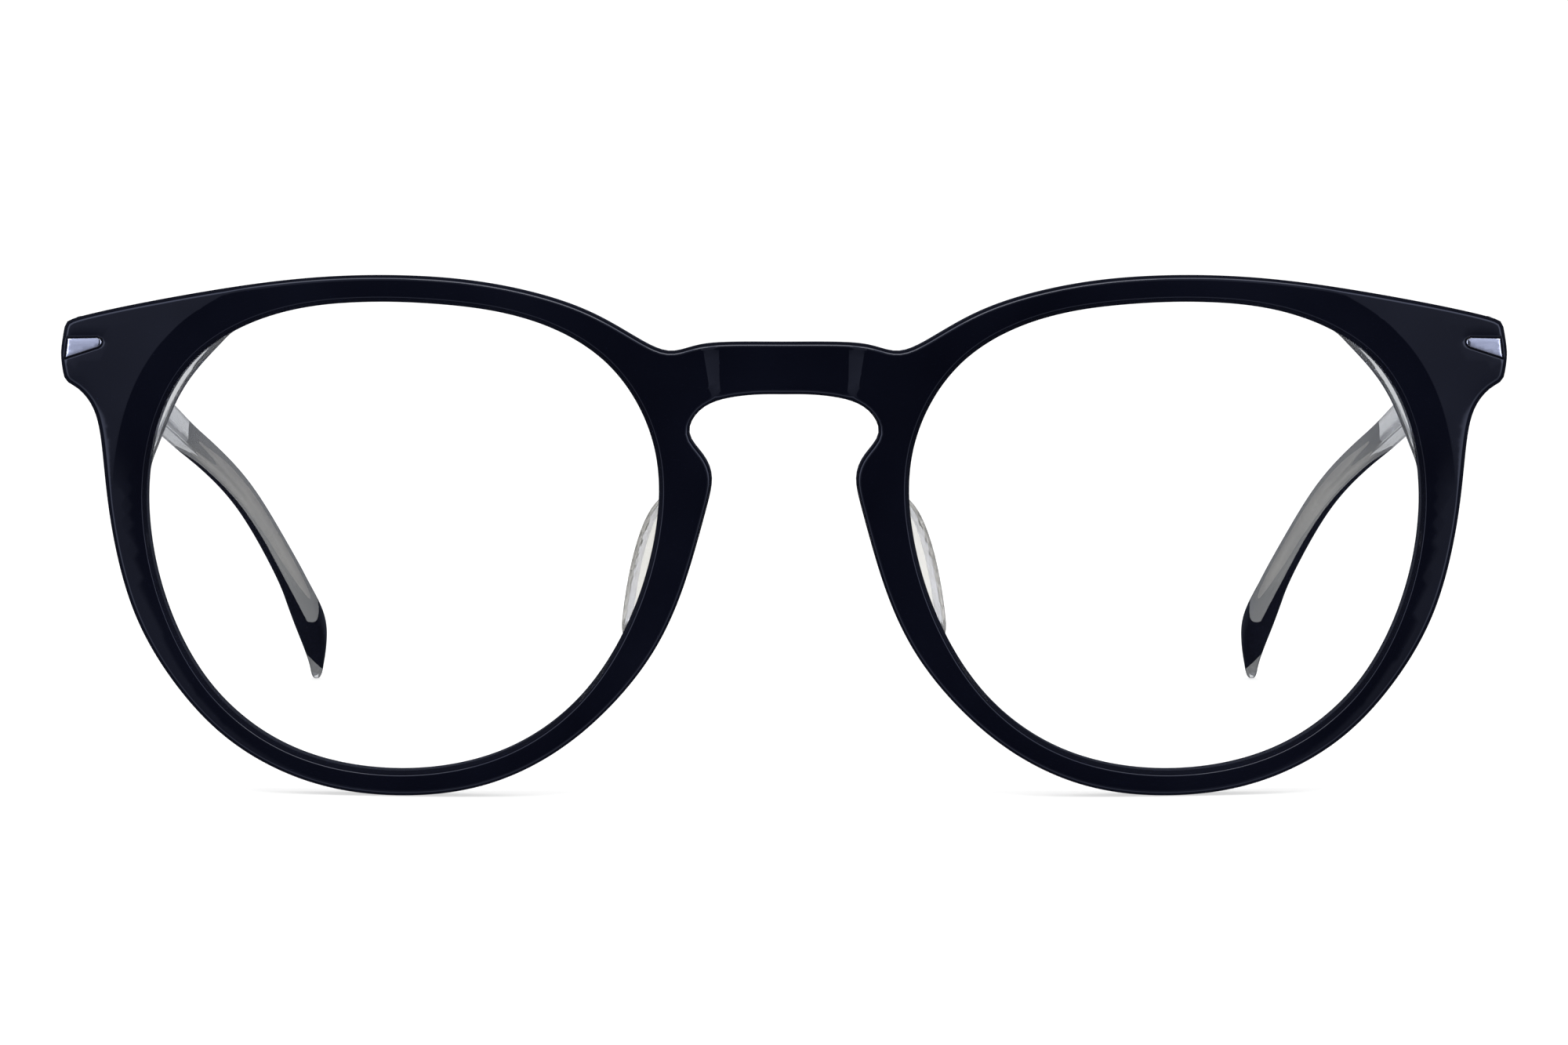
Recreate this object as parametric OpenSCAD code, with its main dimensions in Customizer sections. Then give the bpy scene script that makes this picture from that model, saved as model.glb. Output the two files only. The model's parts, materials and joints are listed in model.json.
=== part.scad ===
// Round keyhole-bridge eyeglasses, standing open on their rims and temple tips.
// Millimetres. The front faces -Y and the temples run back along +Y. The origin is on the
// standing surface, midway across the front and midway between the bridge and the tips.
// Left and right are the wearer's, so left is +X. The right half is the left one mirrored.

/* [Front] */
// Thickness of the acetate front
front_t = 4; // [3.5:0.1:4.4]
// Radius of the front's bow, about an upright axis behind it
bow_r = 280; // [270:5:320]

/* [Lenses] */
// Thickness of each lens
lens_t = 1.8; // [1.4:0.1:2.2]
// Radius of the front surface of each lens
lens_r = 130; // [110:5:160]
// How far the lens edge sits in the groove of its rim
groove = 0.6; // [0.3:0.1:0.9]

/* [Temples] */
// Slope of the temples below level
temple_slope = 10; // [8:0.5:11]
// How far the temples point inwards from straight back
temple_splay = 2.5; // [1.5:0.5:3.5]
// Thickness of the flat core wire
wire_t = 1.1; // [0.8:0.1:1.2]
// Height of the flat core wire
wire_h = 1.3; // [1.1:0.1:1.9]

/* [Hinges] */
// Radius of the hinge barrels
barrel_r = 1.3; // [1.1:0.05:1.35]
// Radius of the hinge screw
screw_r = 0.6; // [0.5:0.05:0.7]
// Thickness of the hinge leaves
leaf_t = 0.6; // [0.5:0.1:0.8]

/* [Hidden] */

navy = [0.06, 0.07, 0.13];
crystal = [0.86, 0.88, 0.90, 0.6];
clear = [0.90, 0.95, 0.97, 0.35];
silver = [0.78, 0.79, 0.80];
steel = [0.62, 0.63, 0.65];

// Half of the front's outline as x and z, from the top of the bridge out to the endpiece
// and back along the rim to the keyhole
front_points = [
    [0, 43.65], [4.5, 43.65], [8, 43.4], [10.4, 42.8], [13, 43.45], [17.5, 46], [23, 48.1],
    [30, 49.5], [38, 50], [46, 49.7], [54, 48.7], [62, 47.3], [67, 46.25], [69, 45.7],
    [69.55, 45.4], [69.75, 44.9], [70.05, 43.2], [70.1, 41.8], [69.85, 40.2], [69.4, 39.55],
    [68.5, 39], [67.7, 38.25], [66.9, 37], [66.2, 34.2], [65.6, 28.5], [64.5, 22.2],
    [62.4, 16], [58.6, 10], [53.1, 4.7], [45.5, 1.1], [37, -0.15],
    [28.4, 1.2], [20.5, 5.3], [14.4, 11.3], [11, 16.8], [9, 22.1], [7.5, 27.4], [6.9, 30.6],
    [7.7, 32.8], [9, 34.7], [8.5, 36.6], [6.5, 38], [3, 38.6], [0, 38.65]
];

// Left lens opening as x and z, from its nasal side down and round
lens_points = [
    [12.4, 24.9], [14.9, 16.9], [19.3, 9.9], [25.6, 5], [33, 2.7], [40.8, 2.6],
    [48.4, 4.7], [54.9, 9.5], [59.2, 16.4], [61.4, 24.4], [61.2, 33.1], [57.3, 41.4],
    [49.3, 46.1], [40.7, 47.4], [32.7, 47.2], [24.5, 45.8], [16.8, 41.5], [12.4, 33.6]
];

// Corners of the wedge-shaped metal inlay, as x and z
inlay_points = [[69.4, 43.9], [66.3, 43.95], [65.9, 43.75], [65.9, 43.35], [66.2, 43], [69.7, 41.9]];
inlay_t = 0.9;

// Middle of the left lens, and how far it tips to follow the bow
lens_mid = [36.8, 25];
lens_turn = asin(lens_mid.x / bow_r);
lens_front = 1.9;

// The left hinge axis: its place, with y measured back from the front of the bridge
hinge = [64.75, 15.65, 42.7];
// Room between the barrels and whatever turns past them
barrel_room = 0.15;
wall = barrel_r + barrel_room;
knuckle_h = 1;
knuckles = 5;
hinge_h = knuckles * knuckle_h;
knuckle_gap = 0.04;
bore_room = 0.05;
head_r = 1;
head_h = 0.45;
slot_w = 0.3;
leaf_back = 5.2;
temple_leaf = 9;
temple_leaf_h = 3.8;
rivet_r = 0.45;
rivet_head_r = 0.7;
rivet_head_h = 0.25;

// Block of crystal behind the endpiece: a ball's worth of it, centred in the front, with
// its opening shifted a little towards the middle of the lens
backing_ball = [66, 0, 42];
backing_r = 16;
backing_shift = [-0.45, -0.3];

// The temple from the side, as distance back, height and depth of section
temple_side = [
    [-6, 0.1, 6.4], [0, 0, 6], [14, -0.5, 4.6], [34, -0.9, 3.3], [56, -1.3, 2.8], [68, -2.3, 2.8],
    [82, -4.9, 3], [98, -10.1, 3.5], [112, -14.9, 4.2], [118, -16.9, 4.4], [130, -21, 4.5]
];
// The temple from above, as distance back, distance out from the hinge and thickness
temple_plan = [
    [-6, 3.25, 3.6], [0, 3.2, 3.5], [14, 2.9, 2.9], [36, 2.65, 2.4], [56, 2.6, 2.3],
    [68, 1.5, 2.2], [82, -0.3, 2.2], [98, -2.3, 2.5], [106, -3, 2.9], [112, -3.4, 3.3],
    [118, -3.5, 2.9], [124, -3.05, 1.7], [130, -2.5, 1.2], [138, -2.5, 1.2]
];
// The scarf between crystal and navy, as distance back and distance out: from the outer face
// along nearly to the inner one, then across
scarf = [[53, 3.85], [109, -3.5], [111, -5.4]];
wire_start = 57;
wire_end = 111;
// Play between the end of the temple and the crystal block it closes against
butt_gap = 0.08;
// The slanting cut at the tip: how far inwards of the hinge and below the middle of the
// rounded end it passes, and its tilt
tip_cut_out = -3;
tip_cut_down = 0.35;
tip_cut_tilt = 45;
// How far out from the hinge the furthest point of the tip lies
tip_out = -2.3;
// Lengths that pass right through a temple, or beyond its end
across = 40;
reach = 200;

// Places on a cubic B-spline, and the control points that make it pass through given points
function blend4(a, b, c, d, t) =
    (a * pow(1 - t, 3) + b * (3 * t * t * t - 6 * t * t + 4)
    + c * (3 * t * t - 3 * t * t * t + 3 * t + 1) + d * t * t * t) / 6;
function wrapped(list, i) = list[(i + len(list)) % len(list)];
function held(list, i) = list[max(0, min(len(list) - 1, i))];
function settle_loop(p, c, passes) = passes == 0 ? c : settle_loop(p, [
    for (i = [0:len(p) - 1])
        c[i] + p[i] - (wrapped(c, i - 1) + 4 * c[i] + wrapped(c, i + 1)) / 6
], passes - 1);
function settle_line(p, c, passes) = passes == 0 ? c : settle_line(p, [
    for (i = [0:len(p) - 1])
        c[i] + p[i] - (held(c, i - 1) + 4 * c[i] + held(c, i + 1)) / 6
], passes - 1);
function smooth_loop(p, steps) = let (c = settle_loop(p, p, 14)) [
    for (i = [0:len(p) - 1], k = [0:steps - 1])
        blend4(wrapped(c, i - 1), c[i], wrapped(c, i + 1), wrapped(c, i + 2), k / steps)
];
function smooth_line(p, steps) = let (c = settle_line(p, p, 14)) [
    for (i = [0:len(p) - 2], k = [0:steps - 1])
        blend4(held(c, i - 1), c[i], held(c, i + 1), held(c, i + 2), k / steps)
];
// A closed outline moved outwards, for one that runs anticlockwise
function grown(loop, d) = [
    for (i = [0:len(loop) - 1])
        let (along = wrapped(loop, i + 1) - wrapped(loop, i - 1))
            loop[i] + d * [along.y, -along.x] / norm(along)
];
function reversed(list) = [for (i = [len(list) - 1:-1:0]) list[i]];

// Both halves of the front's outline, flattened where the rims stand
front_loop = [
    for (p = smooth_loop(concat(front_points, [
        for (i = [len(front_points) - 2:-1:1]) [-front_points[i].x, front_points[i].y]
    ]), 3)) [p.x, max(p.y, 0)]
];
lens_loop = smooth_loop(lens_points, 4);

side_line = smooth_line(temple_side, 4);
plan_line = smooth_line(temple_plan, 4);

// Where the temple's rounded end is centred, so that the tip just stands on the surface
ear_from = temple_side[7];
ear_to = temple_side[8];
ear_drop = atan2(ear_from.y - ear_to.y, ear_to.x - ear_from.x);
end_r = temple_side[9].z / 2;
ear_height = hinge.z - ear_from.x * sin(temple_slope) + ear_from.y * cos(temple_slope);
ear_length = (ear_height - end_r) / sin(temple_slope + ear_drop);
end_mid = [ear_from.x + ear_length * cos(ear_drop), ear_from.y - ear_length * sin(ear_drop)];

// From the front of the bridge to the furthest part of the tips
depth = hinge.y + (end_mid.x * cos(temple_slope) + end_mid.y * sin(temple_slope) + end_r)
    * cos(temple_splay) + tip_out * sin(temple_splay);

// Children are drawn with y measured back from the front of the bridge
module placed(side = 1) {
    translate([0, -depth / 2, 0])
        mirror([side < 0 ? 1 : 0, 0, 0])
            children();
}

// Children are drawn from the hinge axis: x outwards, y back along the temple, z up the axis
module hinge_space() {
    translate(hinge)
        rotate([-temple_slope, 0, temple_splay])
            children();
}

// An outline in x and z made into a bar that runs along y
module bar(outline, from = -10, to = 40) {
    translate([0, to, 0])
        rotate([90, 0, 0])
            linear_extrude(to - from)
                polygon(outline);
}

// Everything further back than the bowed surface that lies this far behind the front
module behind_bow(back) {
    translate([0, bow_r, -20])
        cylinder(h = 100, r = bow_r - back, $fn = 720);
}

module bowed_slab(back, thickness) {
    difference() {
        behind_bow(back);
        behind_bow(back + thickness);
    }
}

module lens_solid() {
    translate([lens_mid.x, lens_front, lens_mid.y])
        rotate([0, 0, lens_turn])
            intersection() {
                difference() {
                    translate([0, lens_r, 0])
                        sphere(r = lens_r, $fn = 240);
                    translate([0, lens_r, 0])
                        sphere(r = lens_r - lens_t, $fn = 240);
                }
                translate([0, 10, 0])
                    rotate([90, 0, 0])
                        linear_extrude(20)
                            polygon([for (p = grown(lens_loop, groove))
                                [(p.x - lens_mid.x) / cos(lens_turn), p.y - lens_mid.y]]);
            }
}

module inlay_solid() {
    intersection() {
        bar(inlay_points);
        bowed_slab(0, inlay_t);
    }
}

module knuckle(i, bore, outline_from, outline_to, trim) {
    translate([0, 0, i * knuckle_h - hinge_h / 2 + trim])
        difference() {
            union() {
                cylinder(h = knuckle_h - 2 * trim, r = barrel_r, $fn = 48);
                translate([outline_from.x, outline_from.y, 0])
                    cube([outline_to.x - outline_from.x, outline_to.y - outline_from.y,
                        knuckle_h - 2 * trim]);
            }
            translate([0, 0, -1])
                cylinder(h = knuckle_h + 2, r = bore, $fn = 32);
        }
}

module front_hinge_solid() {
    hinge_space() {
        difference() {
            translate([-leaf_back, -wall - leaf_t, -hinge_h / 2])
                cube([leaf_back + barrel_r, leaf_t, hinge_h]);
            front_rivet_places()
                cylinder(h = 20, r = rivet_r, center = true, $fn = 24);
        }
        for (i = [0:2:knuckles - 1])
            knuckle(i, screw_r, [-barrel_r, -wall - leaf_t / 2], [barrel_r, 0], 0);
    }
}

module front_rivet_places() {
    for (up = [-1, 1])
        translate([-leaf_back + 1.6, -wall, up * 1.3])
            rotate([90, 0, 0])
                children();
}

module rivet(length) {
    cylinder(h = length, r = rivet_r, $fn = 24);
    translate([0, 0, -rivet_head_h])
        cylinder(h = rivet_head_h, r = rivet_head_r, $fn = 24);
}

module front_rivets_solid() {
    hinge_space()
        front_rivet_places()
            rivet(5);
}

module temple_rivet_places() {
    for (back = [4.2, 7.2])
        translate([wall, back, 0])
            rotate([0, 90, 0])
                children();
}

module temple_rivets_solid() {
    temple_rivet_places()
        rivet(2.1);
}

module temple_hinge_solid() {
    difference() {
        translate([wall, -barrel_r, -temple_leaf_h / 2])
            cube([leaf_t, temple_leaf + barrel_r, temple_leaf_h]);
        temple_rivet_places()
            cylinder(h = 20, r = rivet_r, center = true, $fn = 24);
    }
    for (i = [1:2:knuckles - 1])
        knuckle(i, screw_r + bore_room, [0, -barrel_r], [wall + leaf_t / 2, barrel_r], knuckle_gap);
}

// A temple's outline seen from the side, as distance back and height, made solid
module side_bar(outline) {
    translate([-across, 0, 0])
        rotate([90, 0, 90])
            linear_extrude(2 * across)
                polygon(outline);
}

// A temple's outline seen from above, as distance out and distance back, made solid
module plan_bar(outline) {
    translate([0, 0, -across])
        linear_extrude(2 * across)
            polygon(outline);
}

// The whole temple before it is cut into its pieces, drawn from the hinge axis
module temple_blank() {
    arm = [for (p = side_line) if (p.x > -wall + 0.1 && p.x < end_mid.x - 2) p];
    butt = -wall + butt_gap;
    round_end = [for (a = [90:-15:-90]) end_mid + end_r * [cos(a - ear_drop), sin(a - ear_drop)]];
    intersection() {
        side_bar(concat([[butt, 3]], [for (p = arm) [p.x, p.y + p.z / 2]], round_end,
            reversed([for (p = arm) [p.x, p.y - p.z / 2]]), [[butt, -3]]));
        plan_bar(concat([for (p = plan_line) [p.y + p.z / 2, p.x]],
            reversed([for (p = plan_line) [p.y - p.z / 2, p.x]])));
    }
}

module wire_solid() {
    wire = [for (p = side_line) if (p.x > wire_start && p.x < wire_end) p];
    intersection() {
        side_bar(concat([for (p = wire) [p.x, p.y + wire_h / 2]],
            reversed([for (p = wire) [p.x, p.y - wire_h / 2]])));
        plan_bar(concat([for (p = plan_line) [p.y + wire_t / 2, p.x]],
            reversed([for (p = plan_line) [p.y - wire_t / 2, p.x]])));
    }
}

// Everything on the navy side of the scarf joint
module navy_side() {
    outer = scarf[0].y + 5;
    plan_bar(concat([for (p = scarf) [p.y, p.x]],
        [[scarf[2].y, reach], [outer, reach], [outer, scarf[0].x]]));
}

// Everything below and outside the slanting cut that leaves a clear end on the tip
module past_tip() {
    translate([tip_cut_out, 0, end_mid.y - tip_cut_down])
        rotate([0, -tip_cut_tilt, 0])
            translate([-across, end_mid.x - 25, -across])
                cube([2 * across, 60, across]);
}

module front_frame() {
    color(navy)
        placed()
            difference() {
                intersection() {
                    bar(front_loop);
                    bowed_slab(0, front_t);
                }
                for (side = [0, 1])
                    mirror([side, 0, 0]) {
                        bar(lens_loop);
                        lens_solid();
                        inlay_solid();
                        front_rivets_solid();
                    }
            }
}

module crystal_backing(side) {
    color(crystal)
        placed(side)
            difference() {
                intersection() {
                    bar(front_loop);
                    behind_bow(front_t);
                    translate(backing_ball)
                        sphere(r = backing_r, $fn = 200);
                    hinge_space()
                        translate([-40, -40 - wall, -30])
                            cube([80, 40, 60]);
                }
                bar([for (p = lens_loop) p + backing_shift]);
                lens_solid();
                front_hinge_solid();
                front_rivets_solid();
            }
}

module lens(side) {
    color(clear)
        placed(side)
            lens_solid();
}

module nose_pad(side) {
    color(crystal)
        placed(side)
            intersection() {
                hull() {
                    translate([10.2, 4, 27.6])
                        sphere(r = 1.7, $fn = 32);
                    translate([13.9, 4, 16.4])
                        sphere(r = 1.9, $fn = 32);
                    translate([12.3, 8.2, 24.4])
                        sphere(r = 1.5, $fn = 32);
                    translate([13.9, 8, 19])
                        sphere(r = 1.5, $fn = 32);
                }
                behind_bow(front_t);
            }
}

module endpiece_inlay(side) {
    color(silver)
        placed(side)
            inlay_solid();
}

module front_hinge(side) {
    color(steel)
        placed(side)
            difference() {
                front_hinge_solid();
                front_rivets_solid();
            }
}

module front_hinge_rivets(side) {
    color(steel)
        placed(side)
            front_rivets_solid();
}

module hinge_screw(side) {
    color(silver)
        placed(side)
            hinge_space()
                difference() {
                    union() {
                        translate([0, 0, -hinge_h / 2])
                            cylinder(h = hinge_h, r = screw_r, $fn = 32);
                        translate([0, 0, hinge_h / 2])
                            cylinder(h = head_h, r = head_r, $fn = 32);
                    }
                    translate([-5, -slot_w / 2, hinge_h / 2 + head_h / 2])
                        cube([10, slot_w, 5]);
                }
}

module temple_hinge(side) {
    color(steel)
        placed(side)
            hinge_space()
                temple_hinge_solid();
}

module temple_hinge_rivets(side) {
    color(steel)
        placed(side)
            hinge_space()
                temple_rivets_solid();
}

module core_wire(side) {
    color(steel)
        placed(side)
            hinge_space()
                wire_solid();
}

module temple_crystal(side) {
    color(crystal)
        placed(side)
            hinge_space()
                difference() {
                    temple_blank();
                    navy_side();
                    past_tip();
                    wire_solid();
                    temple_hinge_solid();
                    temple_rivets_solid();
                }
}

module temple_tip(side) {
    color(navy)
        placed(side)
            hinge_space()
                difference() {
                    intersection() {
                        temple_blank();
                        navy_side();
                    }
                    past_tip();
                    wire_solid();
                }
}

module tip_end(side) {
    color(crystal)
        placed(side)
            hinge_space()
                intersection() {
                    temple_blank();
                    past_tip();
                }
}

front_frame();
crystal_backing(1);  // left_crystal_backing
crystal_backing(-1);  // right_crystal_backing
lens(1);  // left_lens
lens(-1);  // right_lens
nose_pad(1);  // left_nose_pad
nose_pad(-1);  // right_nose_pad
endpiece_inlay(1);  // left_endpiece_inlay
endpiece_inlay(-1);  // right_endpiece_inlay
front_hinge(1);  // left_front_hinge
front_hinge(-1);  // right_front_hinge
front_hinge_rivets(1);  // left_front_hinge_rivets
front_hinge_rivets(-1);  // right_front_hinge_rivets
hinge_screw(1);  // left_hinge_screw
hinge_screw(-1);  // right_hinge_screw
temple_hinge(1);  // left_temple_hinge
temple_hinge(-1);  // right_temple_hinge
temple_hinge_rivets(1);  // left_temple_hinge_rivets
temple_hinge_rivets(-1);  // right_temple_hinge_rivets
core_wire(1);  // left_core_wire
core_wire(-1);  // right_core_wire
temple_crystal(1);  // left_temple_crystal
temple_crystal(-1);  // right_temple_crystal
temple_tip(1);  // left_temple_tip
temple_tip(-1);  // right_temple_tip
tip_end(1);  // left_tip_end
tip_end(-1);  // right_tip_end
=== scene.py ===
# Looks for the round keyhole-bridge eyeglasses: rounded acetate, lenses, pads, temples,
# materials, light and camera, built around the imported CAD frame. Lengths are in metres.
import json
import math
import bmesh
import bpy
import numpy as np
from mathutils import Matrix, Vector
from mathutils.geometry import delaunay_2d_cdt


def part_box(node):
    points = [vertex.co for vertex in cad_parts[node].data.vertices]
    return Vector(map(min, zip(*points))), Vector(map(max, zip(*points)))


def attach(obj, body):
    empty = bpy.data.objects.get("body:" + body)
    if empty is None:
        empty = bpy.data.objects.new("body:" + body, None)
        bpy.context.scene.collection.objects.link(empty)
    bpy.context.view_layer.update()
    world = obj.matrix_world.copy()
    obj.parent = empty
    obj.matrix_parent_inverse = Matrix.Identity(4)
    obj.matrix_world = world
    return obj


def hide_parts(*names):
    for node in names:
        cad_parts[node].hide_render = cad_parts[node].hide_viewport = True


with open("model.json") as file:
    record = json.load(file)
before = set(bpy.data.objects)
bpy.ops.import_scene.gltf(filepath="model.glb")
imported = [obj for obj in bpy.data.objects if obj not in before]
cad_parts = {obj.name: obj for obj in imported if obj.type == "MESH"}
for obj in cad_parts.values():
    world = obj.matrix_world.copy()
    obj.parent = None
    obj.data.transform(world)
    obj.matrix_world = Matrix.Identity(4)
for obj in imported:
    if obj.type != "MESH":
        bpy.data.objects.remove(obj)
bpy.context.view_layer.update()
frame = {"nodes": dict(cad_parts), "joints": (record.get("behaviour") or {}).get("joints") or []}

MM = 0.001
SIDES = {"left": 1, "right": -1}


# ---------------------------------------------------------------- curves

def settle(points, closed):
    """Control points of the cubic B-spline that passes through the points."""
    control = points.copy()
    for _ in range(14):
        if closed:
            before = np.roll(control, 1, 0)
            after = np.roll(control, -1, 0)
        else:
            before = np.vstack([control[:1], control[:-1]])
            after = np.vstack([control[1:], control[-1:]])
        control = control + points - (before + 4 * control + after) / 6
    return control


def spline(points, closed, steps=12):
    """A smooth curve through the points, as a dense polyline."""
    points = np.array(points, float)
    c = settle(points, closed)
    count = len(c)
    spans = count if closed else count - 1
    t = np.arange(steps)[:, None] / steps
    curve = []
    for i in range(spans):
        if closed:
            a, b, d, e = c[i - 1], c[i], c[(i + 1) % count], c[(i + 2) % count]
        else:
            a, b, d, e = c[max(i - 1, 0)], c[i], c[i + 1], c[min(i + 2, count - 1)]
        curve.append((a * (1 - t) ** 3 + b * (3 * t ** 3 - 6 * t ** 2 + 4)
                      + d * (3 * t ** 2 - 3 * t ** 3 + 3 * t + 1) + e * t ** 3) / 6)
    curve = np.vstack(curve)
    if not closed:
        curve = np.vstack([curve, points[-1:]])
    return curve


def evened(curve, spacing, closed=True):
    """The same curve with points at an even spacing."""
    path = np.vstack([curve, curve[:1]]) if closed else curve
    run = np.concatenate([[0], np.cumsum(np.linalg.norm(np.diff(path, axis=0), axis=1))])
    count = max(8, round(run[-1] / spacing))
    at = np.linspace(0, run[-1], count + 1)
    if closed:
        at = at[:-1]
    return np.stack([np.interp(at, run, path[:, k]) for k in range(path.shape[1])], 1)


def normals_2d(loop):
    """Outward normals of an anticlockwise closed loop."""
    along = np.roll(loop, -1, 0) - np.roll(loop, 1, 0)
    along /= np.linalg.norm(along, axis=1)[:, None]
    return np.stack([along[:, 1], -along[:, 0]], 1)


def anticlockwise(loop):
    x, y = loop[:, 0], loop[:, 1]
    area = np.sum(x * np.roll(y, -1) - np.roll(x, -1) * y)
    return loop if area > 0 else loop[::-1]


def distance_to(points, loop):
    """Distance from each point to a closed loop's nearest segment."""
    a = loop
    ab = np.roll(loop, -1, 0) - a
    length_2 = np.sum(ab * ab, axis=1)
    nearest = np.full(len(points), np.inf)
    for start in range(0, len(points), 2000):
        p = points[start:start + 2000, None, :] - a[None]
        t = np.clip(np.sum(p * ab, axis=2) / length_2, 0, 1)
        gap = np.linalg.norm(p - t[:, :, None] * ab, axis=2)
        nearest[start:start + 2000] = gap.min(1)
    return nearest


def inside(points, loop):
    """Whether each point lies within a closed loop."""
    x, y = points[:, 0][:, None], points[:, 1][:, None]
    x1, y1 = loop[:, 0], loop[:, 1]
    x2, y2 = np.roll(x1, -1), np.roll(y1, -1)
    crosses = (y1 > y) != (y2 > y)
    rise = np.where(y2 == y1, 1e-12, y2 - y1)
    hit = x < (x2 - x1) * (y - y1) / rise + x1
    return np.sum(crosses & hit, axis=1) % 2 == 1


def smoothstep(low, high, value):
    t = np.clip((value - low) / (high - low), 0, 1)
    return t * t * (3 - 2 * t)


# ---------------------------------------------------------------- the front's shape

# Half of the front's outline as x and z, from the top of the bridge out to the endpiece
# and back along the rim to the keyhole
FRONT_POINTS = np.array([
    [0, 43.65], [4.5, 43.65], [8, 43.4], [10.4, 42.8], [13, 43.45], [17.5, 46], [23, 48.1],
    [30, 49.5], [38, 50], [46, 49.7], [54, 48.7], [62, 47.3], [67, 46.25], [69, 45.7],
    [69.55, 45.4], [69.75, 44.9], [70.05, 43.2], [70.1, 41.8], [69.85, 40.2], [69.4, 39.55],
    [68.5, 39], [67.7, 38.25], [66.9, 37], [66.2, 34.2], [65.6, 28.5], [64.5, 22.2],
    [62.4, 16], [58.6, 10], [53.1, 4.7], [45.5, 1.1], [37, 0],
    [28.4, 1.2], [20.5, 5.3], [14.4, 11.3], [11, 16.8], [9, 22.1], [7.5, 27.4], [6.9, 30.6],
    [7.7, 32.8], [9, 34.7], [8.5, 36.6], [6.5, 38], [3, 38.6], [0, 38.65]]) * MM

# Left lens opening as x and z, from its nasal side down and round
LENS_POINTS = np.array([
    [12.4, 24.9], [14.9, 16.9], [19.3, 9.9], [25.6, 5], [33, 2.7], [40.8, 2.6],
    [48.4, 4.7], [54.9, 9.5], [59.2, 16.4], [61.4, 24.4], [61.2, 33.1], [57.3, 41.4],
    [49.3, 46.1], [40.7, 47.4], [32.7, 47.2], [24.5, 45.8], [16.8, 41.5], [12.4, 33.6]]) * MM

# Corners of the metal inlay, as x and z
INLAY_POINTS = np.array([
    [69.4, 43.9], [66.35, 43.98], [65.95, 43.75], [65.9, 43.35], [66.2, 43], [69.65, 41.9]]) * MM

bridge_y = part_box("front_frame")[0].y
BOW_R = 280 * MM
FRONT_T = 4 * MM
LENS_R = 130 * MM
LENS_T = 1.8 * MM
LENS_MID = np.array([36.8, 25]) * MM
LENS_TURN = math.asin(LENS_MID[0] / BOW_R)
LENS_FRONT = 1.9 * MM

mirrored = FRONT_POINTS[-2:0:-1] * [-1, 1]
front_curve = spline(np.vstack([FRONT_POINTS, mirrored]), True)
front_curve[:, 1] = np.maximum(front_curve[:, 1], 0)
front_loop = anticlockwise(evened(front_curve, 0.62 * MM))
left_opening = anticlockwise(evened(spline(LENS_POINTS, True), 0.62 * MM))
right_opening = anticlockwise(left_opening * [-1, 1])


def bow(x, back=0.0):
    """How far behind the front of the bridge the bowed surface lies."""
    return BOW_R - np.sqrt((BOW_R - back) ** 2 - x * x)


# A crease runs round the outer side of each rim, a little outside the opening. The face
# falls away from it both ways.
CREASE_OUT = 3.4 * MM
CREASE_RISE = 0.32 * MM
CREASE_SIDES = (-0.1 * MM, 0, 0.1 * MM)


def around_lens(p):
    """The angle of each point round the middle of its lens, in degrees up from outwards."""
    return np.degrees(np.arctan2(p[:, 1] - LENS_MID[1], np.abs(p[:, 0]) - LENS_MID[0]))


def crease(p, d_opening, d_outline):
    """How far the crease lifts the face towards the front, for points with these distances."""
    around = around_lens(p)
    strength = smoothstep(-22, -4, around) * (1 - smoothstep(60, 84, around))
    outer_width = np.maximum(d_opening + d_outline - CREASE_OUT, 1e-6)
    rise = CREASE_RISE * np.clip(outer_width / (3 * MM), 0, 1)
    inner = d_opening / CREASE_OUT
    outer = np.clip(d_outline / outer_width, 0, 1)
    return rise * strength * np.where(d_opening < CREASE_OUT, inner, outer)


# The middle of the bridge is carved a little deeper, between two slanting steps
RECESS = 0.52 * MM
STEP_IN = 6.1 * MM


def step_out(z):
    """How far out from the middle each step ends at this height."""
    return 7.0 * MM + 0.18 * (z - 38.5 * MM)


def bridge_recess(p):
    """How deep the bridge is carved at each point."""
    run = (np.abs(p[:, 0]) - STEP_IN) / (step_out(np.maximum(p[:, 1], 36 * MM)) - STEP_IN)
    return RECESS * (1 - np.clip(run, 0, 1))


def rounded(d, radius):
    """How far a rounded edge drops at this distance in from the edge."""
    t = np.clip(1 - d / radius, 0, 1)
    return radius * (1 - np.sqrt(1 - t * t))


def chamfered(d, width, soft=0.09 * MM):
    """How far a slanting edge drops at this distance in from it, for a slope of one."""
    u = width - d
    return 0.5 * (u + np.sqrt(u * u + soft * soft))


# ---------------------------------------------------------------- meshes

def finish_mesh(name, verts, faces, sharp=25):
    """A smooth-shaded object from vertices and faces, with its normals outwards."""
    mesh = bpy.data.meshes.new(name)
    mesh.from_pydata([tuple(v) for v in verts], [], faces)
    bm = bmesh.new()
    bm.from_mesh(mesh)
    bmesh.ops.remove_doubles(bm, verts=bm.verts, dist=1e-7)
    bmesh.ops.recalc_face_normals(bm, faces=bm.faces)
    bm.to_mesh(mesh)
    bm.free()
    mesh.polygons.foreach_set("use_smooth", [True] * len(mesh.polygons))
    mesh.set_sharp_from_angle(angle=math.radians(sharp))
    piece = bpy.data.objects.new(name, mesh)
    bpy.context.scene.collection.objects.link(piece)
    return piece


def hex_points(low, high, spacing):
    """A grid of points in staggered rows between two corners."""
    rows = np.arange(low[1], high[1], spacing * 0.866)
    grid = []
    for i, z in enumerate(rows):
        xs = np.arange(low[0] + (i % 2) * spacing / 2, high[0], spacing)
        grid.append(np.stack([xs, np.full(len(xs), z)], 1))
    return np.vstack(grid)


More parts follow.
